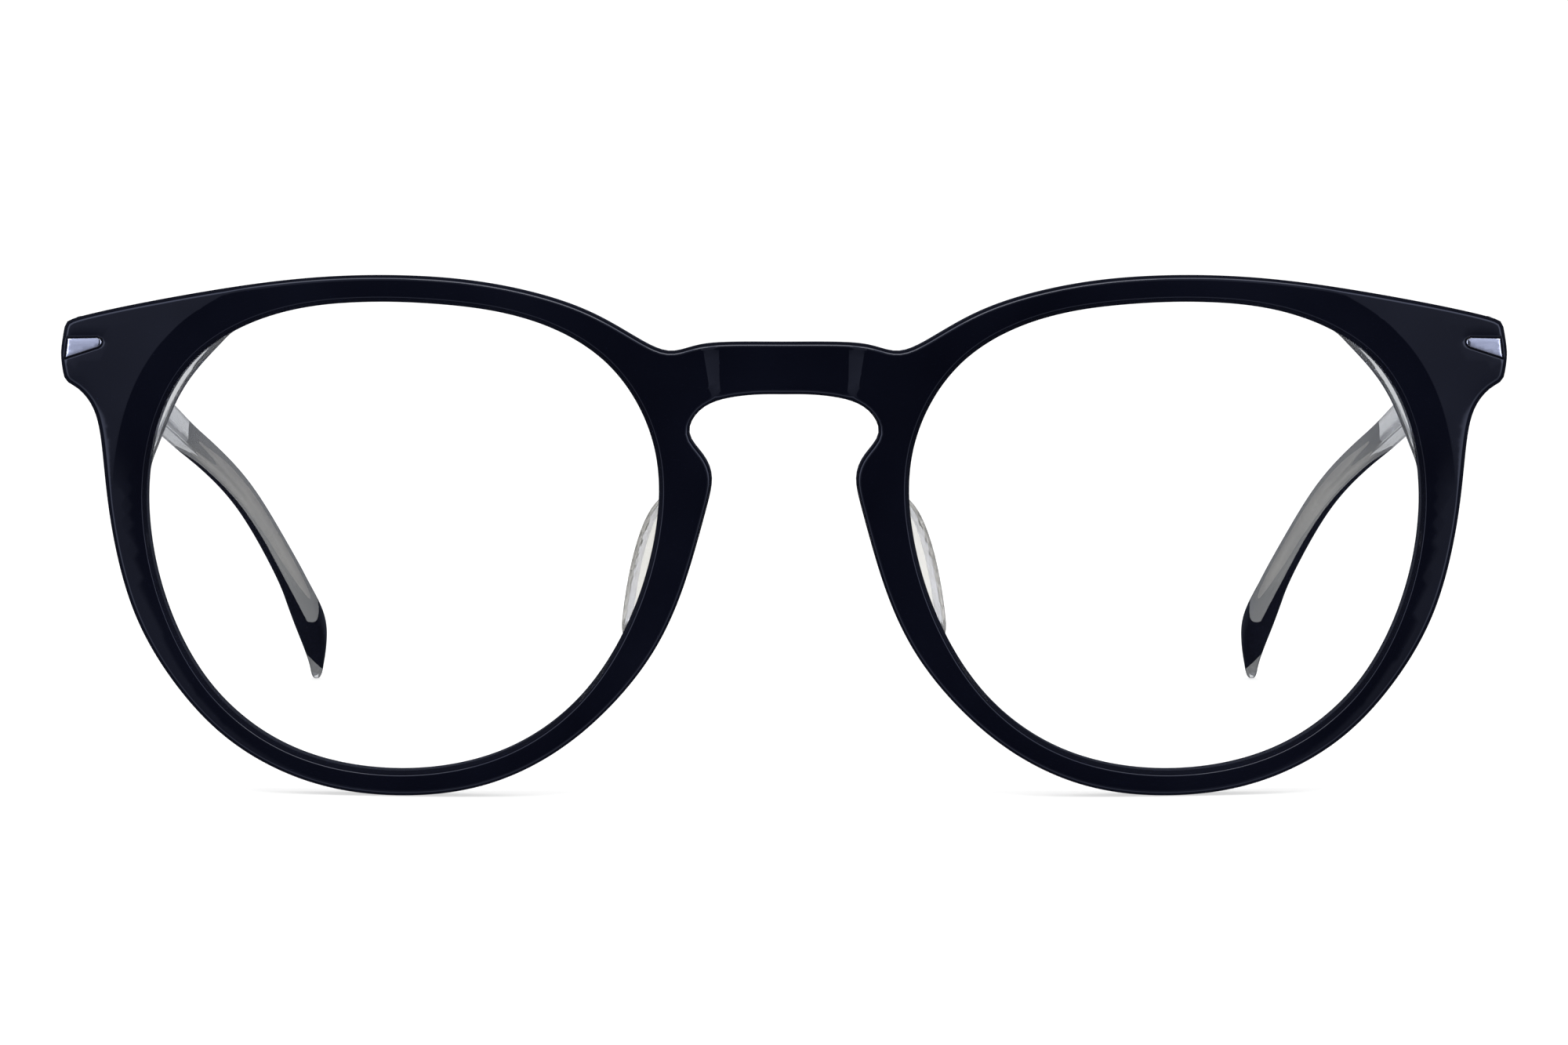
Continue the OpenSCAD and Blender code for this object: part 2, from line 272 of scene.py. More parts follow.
def plate(name, loops, lines, keep, front, back, spacing, clear):
    """A closed solid over a flat region: loops and lines shape its triangles, keep says which
    points belong to it, and front and back give y over the region."""
    points, edges = [], []
    for line, closed in [(l, True) for l in loops] + [(l, False) for l in lines]:
        start = len(points)
        points.extend(line.tolist())
        count = len(line)
        last = count if closed else count - 1
        edges.extend((start + i, start + (i + 1) % count) for i in range(last))
    fixed = np.array(points)
    grid = hex_points(fixed.min(0), fixed.max(0), spacing)
    grid = grid[keep(grid)]
    gap = np.full(len(grid), np.inf)
    for loop in loops:
        gap = np.minimum(gap, distance_to(grid, loop))
    grid = grid[gap > clear]
    everything = np.vstack([fixed, grid]) / MM
    flat, _, tris, _, _, _ = delaunay_2d_cdt(
        [Vector(p) for p in everything], edges, [], 0, 1e-4)
    flat = np.array([tuple(p) for p in flat]) * MM
    tris = np.array([tuple(t) for t in tris])
    tris = tris[keep(flat[tris].mean(1))]
    used = np.unique(tris)
    number = np.full(len(flat), -1)
    number[used] = np.arange(len(used))
    flat, tris = flat[used], number[tris]
    count = len(flat)
    front_y, back_y = front(flat), back(flat)
    back_y = np.maximum(back_y, front_y)
    verts = np.vstack([
        np.stack([flat[:, 0], bridge_y + front_y, flat[:, 1]], 1),
        np.stack([flat[:, 0], bridge_y + back_y, flat[:, 1]], 1)])
    faces = [tuple(t) for t in tris] + [tuple(t[::-1] + count) for t in tris]
    half_edges = [(t[i], t[(i + 1) % 3]) for t in tris for i in range(3)]
    known = set(half_edges)
    faces += [(b, a, a + count, b + count) for a, b in half_edges if (b, a) not in known]
    return finish_mesh(name, verts, faces)


def rings(loop, depths, inwards=1):
    """The loop and copies of it at these distances inside it, or outside it."""
    normals = normals_2d(loop) * inwards
    return [loop - normals * d for d in depths]


def edge_steps(radius, count=5):
    """Distances in from an edge that step evenly round its rounding."""
    return [radius * (1 - math.cos(math.pi / 2 * k / count)) for k in range(count + 1)]


# ---------------------------------------------------------------- the acetate front

EDGE_R = 0.6 * MM
LIP = 0.42 * MM
LIP_SLOPE = 1.7
LIP_RINGS = [d * MM for d in (0, 0.14, 0.25, 0.33, 0.39, 0.45, 0.52, 0.64)]
REAR_R = 0.55 * MM
REAR_LIP = 0.3 * MM
GROOVE_W = 0.09 * MM
GROOVE_DEEP = 0.16 * MM


def edge_distances(p):
    """Distances to the nearest lens opening and to the outline."""
    d_opening = np.minimum(distance_to(p, left_opening), distance_to(p, right_opening))
    return d_opening, distance_to(p, front_loop)


def front_surface(p):
    """The front's face before its edges are rounded, as y back from the bridge."""
    return bow(p[:, 0]) - crease(p, *edge_distances(p))


def inlay_loop(side):
    return anticlockwise(evened(INLAY_POINTS, 0.25 * MM) * [side, 1])


def acetate_front(p):
    d_opening, d_outline = edge_distances(p)
    y = bow(p[:, 0]) - crease(p, d_opening, d_outline)
    y = y + rounded(d_outline, EDGE_R) + LIP_SLOPE * chamfered(d_opening, LIP) + bridge_recess(p)
    for side in SIDES.values():
        d_inlay = distance_to(p, inlay_loop(side))
        y = y + GROOVE_DEEP * np.exp(-(d_inlay / GROOVE_W) ** 2)
    return y


def acetate_back(p):
    d_opening, d_outline = edge_distances(p)
    return bow(p[:, 0], FRONT_T) - rounded(d_outline, REAR_R) - rounded(d_opening, REAR_LIP)


def in_front(p):
    return inside(p, front_loop) & ~inside(p, left_opening) & ~inside(p, right_opening)


def build_front():
    loops = rings(front_loop, edge_steps(EDGE_R))
    creases = []
    for opening in (left_opening, right_opening):
        loops += rings(opening, LIP_RINGS, -1)
        for ring in rings(opening, [CREASE_OUT + d for d in CREASE_SIDES], -1):
            around = around_lens(ring)
            held = (inside(ring, front_loop) & (distance_to(ring, front_loop) > 0.7 * MM)
                    & (around > -24) & (around < 86))
            creases.append(ring[held][np.argsort(around[held])])
    heights = np.linspace(39.4, 42.9, 14) * MM  # between the bridge's two rounded edges
    for side in SIDES.values():
        for d in CREASE_SIDES:
            for xs in (np.full(len(heights), STEP_IN), step_out(heights)):
                creases.append(np.stack([side * (xs + d), heights], 1))
        loops += rings(inlay_loop(side), [d * MM for d in (-0.2, -0.1, 0, 0.1, 0.2)])
    return plate("front_acetate", loops, creases, in_front, acetate_front, acetate_back,
                 1.0 * MM, 0.5 * MM)


front_piece = build_front()
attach(front_piece, "front")
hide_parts("front_frame")

# ---------------------------------------------------------------- inlays

INLAY_PROUD = 0.02 * MM
INLAY_DEEP = 0.6 * MM
INLAY_GAP = 0.06 * MM
INLAY_EDGE_R = 0.12 * MM


def build_inlay(name, side):
    loop = inlay_loop(side)
    edge = rings(loop, [INLAY_GAP])[0]

    def front(p):
        return front_surface(p) - INLAY_PROUD + rounded(distance_to(p, edge), INLAY_EDGE_R)

    def back(p):
        return front_surface(p) + INLAY_DEEP

    loops = rings(edge, edge_steps(INLAY_EDGE_R, 3))
    return plate(name, loops, [], lambda p: inside(p, edge), front, back, 0.35 * MM, 0.15 * MM)


# ---------------------------------------------------------------- crystal backings

hinge_joint = next(j for j in frame["joints"] if j["name"] == "left_hinge")
left_hinge = Vector(hinge_joint["pos_m"])
left_axis = Vector(hinge_joint["axis"])
slope = math.asin(math.hypot(left_axis.x, left_axis.y))
splay = math.atan2(-left_axis.x, left_axis.y)

BACKING_BALL = np.array([66, 42]) * MM
BACKING_R = 16 * MM
BACKING_SHIFT = np.array([-0.45, -0.3]) * MM
BACKING_EDGE_R = 0.5 * MM
BACKING_INSET = 0.12 * MM
BARREL_WALL = 1.45 * MM
SINK = 0.03 * MM
LEAF_PROUD = 0.05 * MM
hinge_back = left_hinge.y - bridge_y


def ball_back(p):
    """How far behind the bridge's front the ball that shapes the backing ends."""
    apart_2 = np.sum((np.abs(p) - BACKING_BALL) ** 2, axis=1)
    return np.sqrt(np.maximum(BACKING_R ** 2 - apart_2, 0))


def ball_rim():
    """Where the ball meets the back of the acetate, found by halving along each direction."""
    rim = []
    for angle in np.radians(np.arange(0, 360, 2.5)):
        way = np.array([math.cos(angle), math.sin(angle)])
        low, high = 0.0, BACKING_R
        for _ in range(30):
            mid = (low + high) / 2
            p = (BACKING_BALL + way * mid)[None]
            if ball_back(p)[0] > bow(p[:, 0], FRONT_T)[0]:
                low = mid
            else:
                high = mid
        rim.append(BACKING_BALL + way * low)
    return np.array(rim)


def butt_plane(p):
    """The plane that the temple's end meets, square to the temple."""
    x = np.abs(p[:, 0]) - left_hinge.x
    z = p[:, 1] - left_hinge.z
    away = Vector((-math.cos(slope) * math.sin(splay), math.cos(slope) * math.cos(splay),
                   -math.sin(slope)))
    return hinge_back + (-BARREL_WALL - LEAF_PROUD - away.x * x - away.z * z) / away.y


def build_backing(name, side):
    thick = ball_back(left_opening) - bow(left_opening[:, 0], FRONT_T)
    shift = smoothstep(0, 3.5 * MM, thick)[:, None] * BACKING_SHIFT
    opening = anticlockwise((left_opening + shift) * [side, 1])
    outline = rings(front_loop, [BACKING_INSET])[0]
    rim = anticlockwise(ball_rim() * [side, 1])

    def keep(p):
        return inside(p, rim) & inside(p, outline) & ~inside(p, opening)

    def front(p):
        return bow(p[:, 0], FRONT_T - SINK)

    def back(p):
        y = np.minimum(ball_back(p), butt_plane(p))
        thick = np.maximum(y - bow(p[:, 0], FRONT_T), 0)
        drop = sum(rounded(distance_to(p, edge), BACKING_EDGE_R) for edge in (outline, opening))
        return y - np.minimum(drop, thick)

    steps = edge_steps(BACKING_EDGE_R)
    loops = [rim] + rings(outline, steps) + rings(opening, steps, -1)
    return plate(name, loops, [], keep, front, back, 0.6 * MM, 0.3 * MM)


# ---------------------------------------------------------------- lenses

LENS_BITE = 0.35 * MM  # how far the lens reaches into its rim


def lens_surface(p, back):
    """The lens's front, or a surface behind it, as y back from the bridge."""
    x = np.abs(p[:, 0]) - LENS_MID[0]
    z = p[:, 1] - LENS_MID[1]
    away = np.array([-math.sin(LENS_TURN), math.cos(LENS_TURN)])
    centre_x = away[0] * LENS_R
    centre_y = LENS_FRONT + away[1] * LENS_R
    return centre_y - np.sqrt((LENS_R - back) ** 2 - (x - centre_x) ** 2 - z * z)


def build_lens(name, side):
    loop = anticlockwise(rings(left_opening, [-LENS_BITE])[0] * [side, 1])
    return plate(name, [loop], [], lambda p: inside(p, loop), lambda p: lens_surface(p, 0),
                 lambda p: lens_surface(p, LENS_T), 1.6 * MM, 0.8 * MM)


# ---------------------------------------------------------------- nose pads

# Outline of the left pad, as x and z
PAD_POINTS = np.array([
    [10.6, 29.2], [9, 27.6], [9.9, 23], [11.6, 17.6], [13.4, 14.7], [15.3, 15.1],
    [15.5, 17.6], [14.7, 22.3], [13, 27.2]]) * MM
PAD_DEEP = 5.4 * MM
PAD_HALF = 2.9 * MM
PAD_RINGS = [d * MM for d in (0, 0.006, 0.025, 0.06, 0.11, 0.18, 0.28, 0.4)]


def build_pad(name, side):
    loop = anticlockwise(evened(spline(PAD_POINTS, True), 0.22 * MM) * [side, 1])

    def front(p):
        return bow(p[:, 0], FRONT_T - SINK)

    def back(p):
        d = np.clip(distance_to(p, loop) / PAD_HALF, 0, 1)
        lean = np.clip((np.abs(p[:, 0]) - 9 * MM) / (7 * MM), 0, 1)
        dome = np.sqrt(1 - (1 - d) ** 2)
        return front(p) + PAD_DEEP * dome * (0.75 + 0.4 * lean)

    return plate(name, rings(loop, PAD_RINGS), [], lambda p: inside(p, loop), front, back,
                 0.35 * MM, 0.18 * MM)


# ---------------------------------------------------------------- temples

# The temple from the side, as distance back, height and depth of section
TEMPLE_SIDE = np.array([
    [-6, 0.1, 6.4], [0, 0, 6], [14, -0.5, 4.6], [34, -0.9, 3.3], [56, -1.3, 2.8], [68, -2.3, 2.8],
    [82, -4.9, 3], [98, -10.1, 3.5], [112, -14.9, 4.2], [118, -16.9, 4.4], [130, -21, 4.5]]) * MM
# The temple from above, as distance back, distance out from the hinge and thickness
TEMPLE_PLAN = np.array([
    [-6, 3.25, 3.6], [0, 3.2, 3.5], [14, 2.9, 2.9], [36, 2.65, 2.4], [56, 2.6, 2.3],
    [68, 1.5, 2.2], [82, -0.3, 2.2], [98, -2.3, 2.5], [106, -3, 2.9], [112, -3.4, 3.3],
    [118, -3.5, 2.9], [124, -3.05, 1.7], [130, -2.5, 1.2], [138, -2.5, 1.2]]) * MM
# The scarf joint between crystal and navy, as distance back and distance out
SCARF = np.array([
    [53, 3.85], [72, 1.1], [90, -1.45], [105, -3.3], [109, -3.75], [111, -5.4]]) * MM
WIRE_START, WIRE_END = 58.5 * MM, 111 * MM
WIRE_T, WIRE_H = 1.0 * MM, 1.2 * MM
WIRE_TAPER = 14 * MM
# How far along from either end the wire's sections step round its rounded ends
END_ROUND = np.array([0.01, 0.06, 0.15, 0.3, 0.5, 0.75]) * MM
BUTT = -BARREL_WALL + 0.13 * MM
BUTT_ROUND = 0.25 * MM
# The slanting cut at the tip: where it passes, from the hinge and the middle of the rounded
# end, and its tilt
TIP_CUT_OUT, TIP_CUT_DOWN, TIP_CUT_TILT = -3 * MM, 0.35 * MM, math.radians(45)

side_curve = spline(TEMPLE_SIDE, False)
plan_curve = spline(TEMPLE_PLAN, False)


def curve_at(curve, v):
    """A temple curve's middle and width at this distance back."""
    return np.array([np.interp(v, curve[:, 0], curve[:, k]) for k in (1, 2)])


ear_from, ear_to = TEMPLE_SIDE[7], TEMPLE_SIDE[8]
ear_drop = math.atan2(ear_from[1] - ear_to[1], ear_to[0] - ear_from[0])
end_r = TEMPLE_SIDE[9][2] / 2
ear_height = left_hinge.z - ear_from[0] * math.sin(slope) + ear_from[1] * math.cos(slope)
ear_length = (ear_height - end_r) / math.sin(slope + ear_drop)
end_mid = ear_from[:2] + ear_length * np.array([math.cos(ear_drop), -math.sin(ear_drop)])


def temple_matrix(side):
    """From the hinge's own directions, out, back and up its axis, to the frame."""
    turn = Matrix.Rotation(splay, 4, "Z") @ Matrix.Rotation(-slope, 4, "X")
    return Matrix.Diagonal((side, 1, 1, 1)) @ Matrix.Translation(left_hinge) @ turn


def section(count, power):
    """Points round a section that is between an oval and a rectangle."""
    angles = np.linspace(0, 2 * math.pi, count, endpoint=False) + math.pi / count
    return np.stack([np.sign(c) * np.abs(c) ** (2 / power) for c in (np.cos(angles), np.sin(angles))], 1)


def tube(name, stations, count=44):
    """A swept solid. A station is its middle, its out and up directions, its half sizes and
    the squareness of its section."""
    verts, faces = [], []
    for middle, out, up, half_out, half_up, power in stations:
        ring = section(count, power)
        verts.extend(middle + out * (x * half_out) + up * (z * half_up) for x, z in ring)
    for i in range(len(stations) - 1):
        for k in range(count):
            a, b = i * count + k, i * count + (k + 1) % count
            faces.append((a, b, b + count, a + count))
    last = (len(stations) - 1) * count
    faces += [tuple(range(count))[::-1], tuple(range(last, last + count))]
    return finish_mesh(name, verts, faces, 50)


def temple_stations():
    """The whole temple's sections from its flat end to its rounded tip."""
    stations = []
    out = np.array([1.0, 0, 0])
    corner = [BUTT, BUTT + 0.04 * MM, BUTT + 0.12 * MM, BUTT + BUTT_ROUND]
    for v in corner + list(np.arange(BUTT + 1 * MM, end_mid[0] - 0.5 * MM, 0.9 * MM)):
        w, height = curve_at(side_curve, v)
        u, thick = curve_at(plan_curve, v)
        rise = curve_at(side_curve, v + 0.5 * MM)[0] - curve_at(side_curve, v - 0.5 * MM)[0]
        lean = math.atan2(rise, 1 * MM) * smoothstep(0, 20 * MM, v)
        up = np.array([0, -math.sin(lean), math.cos(lean)])
        shrink = rounded(v - BUTT, BUTT_ROUND)
        power = 5.5 - 2.7 * smoothstep(50 * MM, 100 * MM, v)
        stations.append((np.array([u, v, w]), out, up, thick / 2 - shrink, height / 2 - shrink, power))
    along = np.array([0, math.cos(ear_drop), -math.sin(ear_drop)])
    up = np.array([0, math.sin(ear_drop), math.cos(ear_drop)])
    for angle in np.radians([0, 12, 24, 36, 48, 58, 67, 75, 81, 86, 89]):
        reach = end_r * math.sin(angle)
        middle = np.array([0, *end_mid]) + along * reach
        middle[0], thick = curve_at(plan_curve, middle[1])
        stations.append((middle, out, up, thick / 2 * math.cos(angle) ** 0.5,
                         end_r * math.cos(angle), 2.8))
    return stations


def wire_stations():
    """The core wire's sections, thin at the front end and full towards the tip."""
    stations = []
    out = np.array([1.0, 0, 0])
    up = np.array([0, 0, 1.0])
    straight = np.arange(WIRE_START + 1.2 * MM, WIRE_END - 1 * MM, 1 * MM)
    for v in np.concatenate([WIRE_START + END_ROUND, straight, (WIRE_END - END_ROUND)[::-1]]):
        w, u = curve_at(side_curve, v)[0], curve_at(plan_curve, v)[0]
        end = min(v - WIRE_START, WIRE_END - v)
        fill = math.sqrt(1 - (1 - min(1, end / (0.95 * MM))) ** 2)
        fill *= 0.25 + 0.75 * smoothstep(0, WIRE_TAPER, v - WIRE_START)
        stations.append((np.array([u, v, w]), out, up, WIRE_T / 2 * fill, WIRE_H / 2 * fill, 3))
    return stations


def slab(name, corners, low, high):
    """A cutter: an outline in out and back, made into a block from low to high."""
    count = len(corners)
    verts = [(x, y, low) for x, y in corners] + [(x, y, high) for x, y in corners]
    faces = [tuple(range(count)), tuple(range(count, 2 * count))[::-1]]
    for i in range(count):
        k = (i + 1) % count
        faces.append((i, i + count, k + count, k))
    return finish_mesh(name, verts, faces)


def cut(piece, cutter, operation):
    """Cuts the piece with the cutter and keeps the result as its mesh."""
    modifier = piece.modifiers.new("cut", "BOOLEAN")
    modifier.object = cutter
    modifier.operation = operation
    modifier.solver = "EXACT"
    bpy.context.view_layer.update()
    graph = bpy.context.evaluated_depsgraph_get()
    done = bpy.data.meshes.new_from_object(piece.evaluated_get(graph))
    piece.modifiers.clear()
    piece.data = done
    piece.data.polygons.foreach_set("use_smooth", [True] * len(done.polygons))
    piece.data.set_sharp_from_angle(angle=math.radians(45))


def copy_of(piece, name):
    twin = bpy.data.objects.new(name, piece.data.copy())
    bpy.context.scene.collection.objects.link(twin)
    return twin


def navy_side(shift):
    """A cutter for everything on the navy side of the scarf joint, moved out by this much."""
    corners = [(u + shift, v) for v, u in SCARF]
    outer, reach = corners[0][0] + 5 * MM, 200 * MM
    corners += [(corners[-1][0], reach), (outer, reach), (outer, corners[0][1])]
    return slab("cutter", corners, -80 * MM, 40 * MM)


def past_tip(shift):
    """A cutter for everything past the slanting cut at the tip, which is raised by this much."""
    corners = [(x * MM, y * MM) for x, y in ((-30, -25), (30, -25), (30, 35), (-30, 35))]
    cutter = slab("cutter", corners, -40 * MM, shift)
    passing = Matrix.Translation((TIP_CUT_OUT, end_mid[0], end_mid[1] - TIP_CUT_DOWN))
    cutter.matrix_world = passing @ Matrix.Rotation(-TIP_CUT_TILT, 4, "Y")
    return cutter


def build_temple(side_name, side):
    end = tube(side_name + "_clear_end", temple_stations())
    crystal = copy_of(end, side_name + "_crystal_temple")
    tip = copy_of(end, side_name + "_navy_tip")
    for cutter, cuts in ((navy_side(0), ((crystal, "DIFFERENCE"),)),
                         (navy_side(-SINK), ((tip, "INTERSECT"),)),
                         (past_tip(0), ((crystal, "DIFFERENCE"), (end, "INTERSECT"))),
                         (past_tip(-SINK), ((tip, "DIFFERENCE"),))):
        for piece, operation in cuts:
            cut(piece, cutter, operation)
        bpy.data.objects.remove(cutter)
    wire = tube(side_name + "_wire", wire_stations(), 20)
    pieces = {"temple_crystal": crystal, "temple_tip": tip, "tip_end": end, "core_wire": wire}
    matrix = temple_matrix(side)
    for piece in pieces.values():
        piece.data.transform(matrix)
        if side < 0:
            piece.data.flip_normals()
    return pieces


# ---------------------------------------------------------------- materials

def new_material(name):
    material = bpy.data.materials.new(name)
    material.use_nodes = True
    nodes = material.node_tree.nodes
    return material, nodes, material.node_tree.links, nodes["Principled BSDF"]


def noise(nodes, links, scale, detail, stretch=(1, 1, 1)):
    """The value of a noise texture over the object."""
    where = nodes.new("ShaderNodeTexCoord")
    mapping = nodes.new("ShaderNodeMapping")
    mapping.inputs["Scale"].default_value = stretch
    links.new(where.outputs["Object"], mapping.inputs["Vector"])
    texture = nodes.new("ShaderNodeTexNoise")
    texture.inputs["Scale"].default_value = scale
    texture.inputs["Detail"].default_value = detail
    links.new(mapping.outputs["Vector"], texture.inputs["Vector"])
    return texture.outputs["Fac"]


def ramp(nodes, links, source, stops):
    """The colour of a ramp over the source, from positions and colours."""
    node = nodes.new("ShaderNodeValToRGB")
    elements = node.color_ramp.elements
    elements.remove(elements[-1])
    elements[0].position = stops[0][0]
    for position, _ in stops[1:]:
        elements.new(position)
    for element, (_, colour) in zip(elements, stops):
        element.color = (*colour, 1)
    links.new(source, node.inputs["Fac"])
    return node.outputs["Color"]


def mixed(nodes, links, factor, a, b, how="MIX"):
    """A colour mix of two colours or sockets, by a number or socket."""
    mix = nodes.new("ShaderNodeMix")
    mix.data_type = "RGBA"
    mix.blend_type = how
    for socket, value in ((mix.inputs[0], factor), (mix.inputs[6], a), (mix.inputs[7], b)):
        if isinstance(value, bpy.types.NodeSocket):
            links.new(value, socket)
        else:
            socket.default_value = value
    return mix.outputs[2]


def spread(nodes, links, source, low, high, source_low=0, source_high=1):
    """The source mapped from its own range to low and high."""
    node = nodes.new("ShaderNodeMapRange")
    node.inputs["From Min"].default_value = source_low
    node.inputs["From Max"].default_value = source_high
    node.inputs["To Min"].default_value = low
    node.inputs["To Max"].default_value = high
    links.new(source, node.inputs["Value"])
    return node.outputs["Result"]


def bump(nodes, links, shader, source, strength, distance):
    node = nodes.new("ShaderNodeBump")
    node.inputs["Strength"].default_value = strength
    node.inputs["Distance"].default_value = distance
    links.new(source, node.inputs["Height"])
    links.new(node.outputs["Normal"], shader.inputs["Normal"])


def navy_acetate():
    material, nodes, links, shader = new_material("navy_acetate")
    cloud = noise(nodes, links, 60, 3)
    colour = ramp(nodes, links, cloud, [
        (0.3, (0.0016, 0.0019, 0.0046)), (0.55, (0.0024, 0.0029, 0.0067)),
        (0.8, (0.0035, 0.0042, 0.0088))])
    links.new(colour, shader.inputs["Base Color"])
    fine = noise(nodes, links, 900, 5)
    links.new(spread(nodes, links, fine, 0.05, 0.10), shader.inputs["Roughness"])
    shader.inputs["IOR"].default_value = 1.48
    shader.inputs["Specular IOR Level"].default_value = 0.3
    wave = noise(nodes, links, 140, 2)
    bump(nodes, links, shader, wave, 0.06, 0.0001)
    return material


def crystal_acetate(name, low, high, ior):
    material, nodes, links, shader = new_material(name)
    cloud = noise(nodes, links, 90, 3)
    colour = ramp(nodes, links, cloud, [(0.3, low), (0.7, high)])
    links.new(colour, shader.inputs["Base Color"])
    fine = noise(nodes, links, 700, 4)
    links.new(spread(nodes, links, fine, 0.02, 0.07), shader.inputs["Roughness"])
    shader.inputs["Transmission Weight"].default_value = 0.8
    shader.inputs["IOR"].default_value = ior
    bump(nodes, links, shader, cloud, 0.05, 0.0001)
    return material


def lens_glass():
    material, nodes, links, shader = new_material("lens_clear")
    cloud = noise(nodes, links, 30, 2)
    colour = ramp(nodes, links, cloud, [
        (0.3, (0.985, 0.99, 0.99)), (0.7, (1.0, 1.0, 1.0))])
    links.new(colour, shader.inputs["Base Color"])
    links.new(spread(nodes, links, cloud, 0.0, 0.01), shader.inputs["Roughness"])
    shader.inputs["Transmission Weight"].default_value = 1.0
    shader.inputs["IOR"].default_value = 1.12
    return material


def metal(name, low, high, rough_low, rough_high, scale, stretch, metallic=1.0):
    material, nodes, links, shader = new_material(name)
    grain = noise(nodes, links, scale, 6, stretch)
    colour = ramp(nodes, links, grain, [(0.3, low), (0.7, high)])
    links.new(colour, shader.inputs["Base Color"])
    links.new(spread(nodes, links, grain, rough_low, rough_high), shader.inputs["Roughness"])
    shader.inputs["Metallic"].default_value = metallic
    bump(nodes, links, shader, grain, 0.08, 0.00003)
    return material


NAVY = navy_acetate()
CRYSTAL = crystal_acetate("crystal_acetate", (0.78, 0.80, 0.83), (0.86, 0.875, 0.89), 1.4)
PAD_CRYSTAL = crystal_acetate("pad_crystal", (0.86, 0.85, 0.81), (0.92, 0.91, 0.88), 1.2)
LENS = lens_glass()
POLISHED = metal("polished_metal", (0.78, 0.78, 0.79), (0.9, 0.9, 0.9), 0.12, 0.22, 400, (1, 1, 6))
SATIN = metal("hinge_steel", (0.5, 0.5, 0.52), (0.66, 0.66, 0.67), 0.22, 0.36, 500, (1, 5, 1))
SCREW = metal("screw_steel", (0.62, 0.61, 0.6), (0.75, 0.74, 0.73), 0.16, 0.28, 600, (1, 1, 8))
WIRE = metal("wire_steel", (0.27, 0.25, 0.215), (0.34, 0.315, 0.27), 0.4, 0.5, 500, (1, 8, 1), 0.3)


def dress(piece, material):
    piece.data.materials.clear()
    piece.data.materials.append(material)


def place(piece, body, node, material):
    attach(piece, body)
    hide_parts(node)
    dress(piece, material)


dress(front_piece, NAVY)
for side_name, side in SIDES.items():
    place(build_inlay(side_name + "_inlay", side), "front", side_name + "_endpiece_inlay",
          POLISHED)
    place(build_backing(side_name + "_backing", side), "front", side_name + "_crystal_backing",
          CRYSTAL)
    lens = build_lens(side_name + "_clear_lens", side)
    lens.visible_glossy = False  # or the rim's bevel would reflect the white floor through it
    place(lens, "front", side_name + "_lens", LENS)
    place(build_pad(side_name + "_pad", side), "front", side_name + "_nose_pad",
          PAD_CRYSTAL)
    temple = build_temple(side_name, side)
    body = side_name + "_temple"
    place(temple["temple_crystal"], body, side_name + "_temple_crystal", CRYSTAL)
    place(temple["temple_tip"], body, side_name + "_temple_tip", NAVY)
    place(temple["tip_end"], body, side_name + "_tip_end", CRYSTAL)
    place(temple["core_wire"], body, side_name + "_core_wire", WIRE)
    for node, material in (("front_hinge", SATIN), ("front_hinge_rivets", SATIN),
                           ("temple_hinge", SATIN), ("temple_hinge_rivets", SATIN),
                           ("hinge_screw", SCREW)):
        part = frame["nodes"][side_name + "_" + node]
        dress(part, material)
        edge = part.modifiers.new("edges", "BEVEL")
        edge.width = 0.08 * MM
        edge.segments = 2
        edge.limit_method = "ANGLE"
        edge.angle_limit = math.radians(40)

# ---------------------------------------------------------------- stage, light, camera

scene = bpy.context.scene
scene.view_settings.view_transform = "Standard"


def build_floor():
    material, nodes, links, shader = new_material("pale_floor")
    cloud = noise(nodes, links, 3, 2)
    colour = ramp(nodes, links, cloud, [
        (0.3, (0.49, 0.49, 0.49)), (0.7, (0.51, 0.51, 0.51))])
    links.new(colour, shader.inputs["Base Color"])
    links.new(spread(nodes, links, cloud, 0.35, 0.45), shader.inputs["Roughness"])
    shader.inputs["Specular IOR Level"].default_value = 0
    shader.inputs["Emission Color"].default_value = (1, 1, 1, 1)
    shader.inputs["Emission Strength"].default_value = 0.62
    corners = [(-4, -4, 0), (4, -4, 0), (4, 8, 0), (-4, 8, 0)]
    floor = finish_mesh("floor", [Vector(c) for c in corners], [(0, 1, 2, 3)])
    if floor.data.polygons[0].normal.z < 0:
        floor.data.flip_normals()
    floor.location.z = -0.00005
    dress(floor, material)
    floor.visible_glossy = False  # so that the polished rims stay dark underneath


# What polished surfaces reflect of the studio, as the Y of the direction and its grey: dark,
# with a dim ring and then a bright one round the viewer
REFLECTED = [(-1, 0.02), (-0.87, 0.03), (-0.84, 0.5), (-0.64, 0.6), (-0.6, 3), (-0.38, 3),
             (-0.3, 0.15), (0.4, 0.12), (0.8, 0.05)]
REFLECTED_TINT = (0.8, 0.88, 1.25)


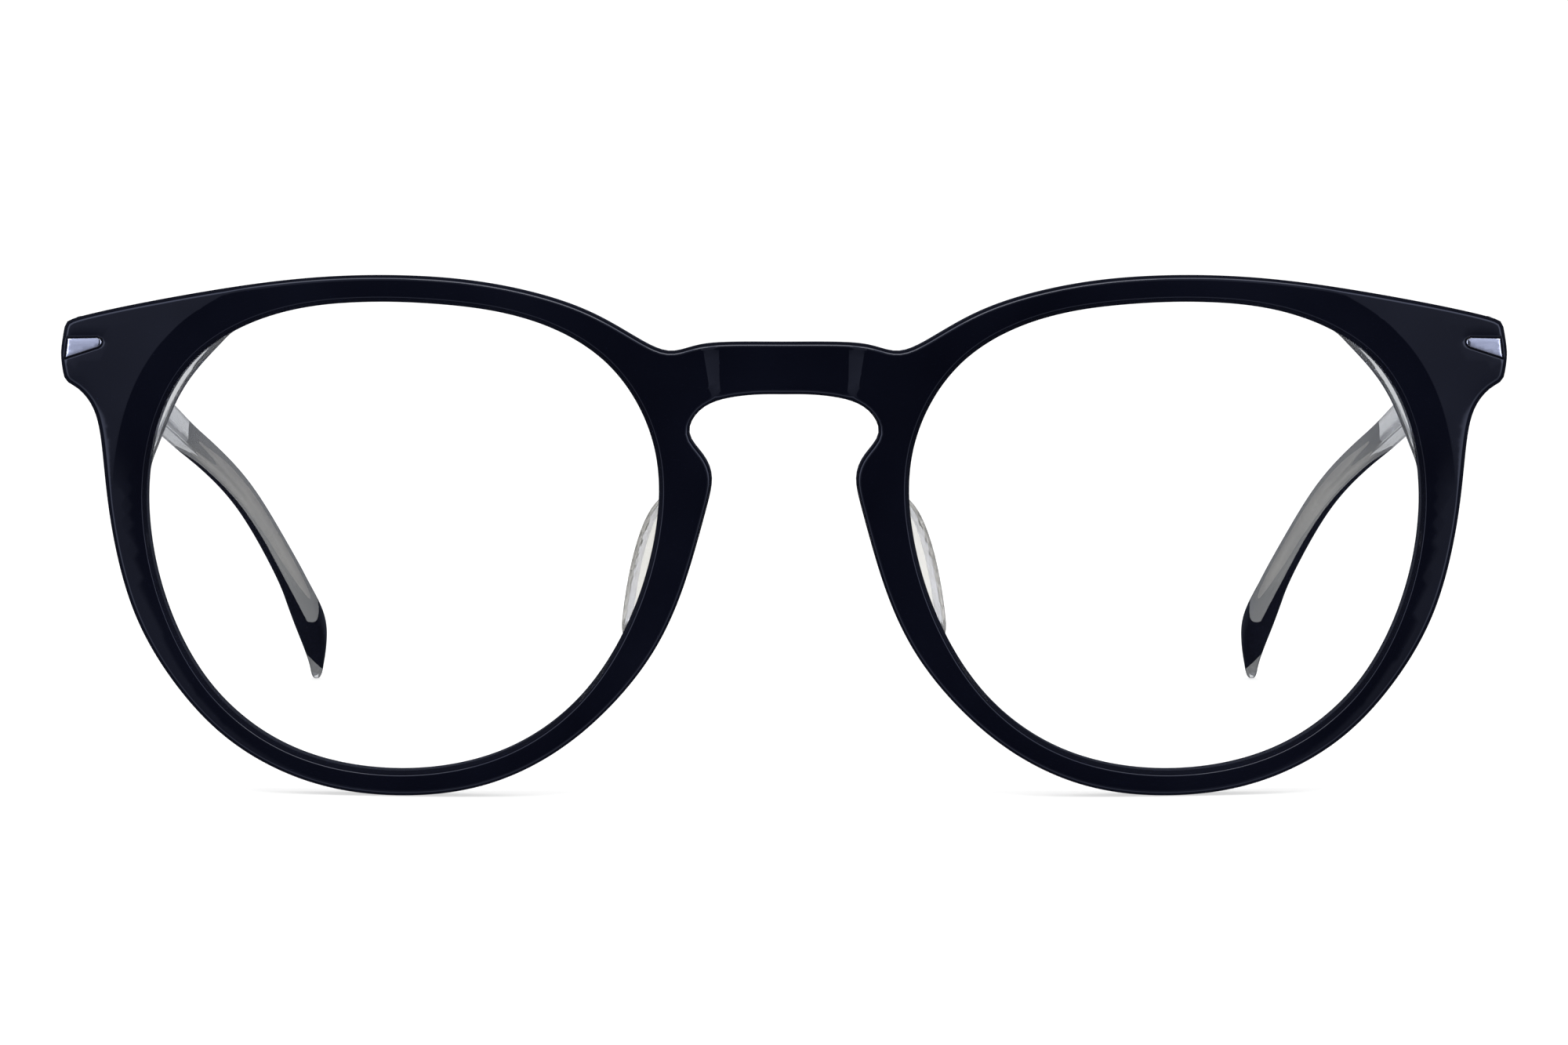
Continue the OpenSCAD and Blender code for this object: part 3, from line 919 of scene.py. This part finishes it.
def build_world():
    """White where it is seen directly, the rings above in a reflection, dim after two."""
    world = bpy.data.worlds.new("studio")
    world.use_nodes = True
    world.cycles.sampling_method = "NONE"
    scene.world = world
    nodes, links = world.node_tree.nodes, world.node_tree.links
    background = nodes["Background"]
    where = nodes.new("ShaderNodeTexCoord")
    parts = nodes.new("ShaderNodeSeparateXYZ")
    links.new(where.outputs["Generated"], parts.inputs["Vector"])
    forward = spread(nodes, links, parts.outputs["Y"], 0, 1, -1)
    around = ramp(nodes, links, forward, [
        ((y + 1) / 2, tuple(grey * t for t in REFLECTED_TINT)) for y, grey in REFLECTED])
    upward = spread(nodes, links, parts.outputs["Z"], 0.35, 1, -0.3, 0.1)
    above = mixed(nodes, links, 1, around, upward, "MULTIPLY")
    path = nodes.new("ShaderNodeLightPath")
    twice = nodes.new("ShaderNodeMath")
    twice.operation = "GREATER_THAN"
    twice.inputs[1].default_value = 1.5
    depth = path.outputs["Glossy Depth"]
    links.new(depth, twice.inputs[0])
    once = mixed(nodes, links, depth, (1, 1, 1, 1), above)
    seen = mixed(nodes, links, twice.outputs["Value"], once, (0.3, 0.3, 0.32, 1))
    links.new(seen, background.inputs["Color"])
    background.inputs["Strength"].default_value = 1.06


def area_light(name, position, target, size, power):
    light = bpy.data.lights.new(name, "AREA")
    light.shape = "RECTANGLE"
    light.size, light.size_y = size
    light.energy = power
    lamp = bpy.data.objects.new(name, light)
    scene.collection.objects.link(lamp)
    lamp.location = position
    lamp.rotation_euler = (Vector(target) - Vector(position)).to_track_quat("-Z", "Y").to_euler()


def build_camera():
    camera_data = bpy.data.cameras.new("camera")
    camera = bpy.data.objects.new("camera", camera_data)
    scene.collection.objects.link(camera)
    camera_data.sensor_width = 36
    camera_data.lens = 120.6
    camera_data.clip_start = 0.01
    camera.location = (0, bridge_y - 0.5, 0.0546)
    camera.rotation_euler = (math.radians(90 - 3.22), 0, 0)
    scene.camera = camera


build_floor()
build_world()
build_camera()
area_light("top", (0, bridge_y - 0.35, 0.75), (0, bridge_y, 0.03), (0.9, 0.2), 1.2)
area_light("front_top", (0, bridge_y - 0.5, 0.75), (0, bridge_y, 0.03), (0.5, 0.06), 1)
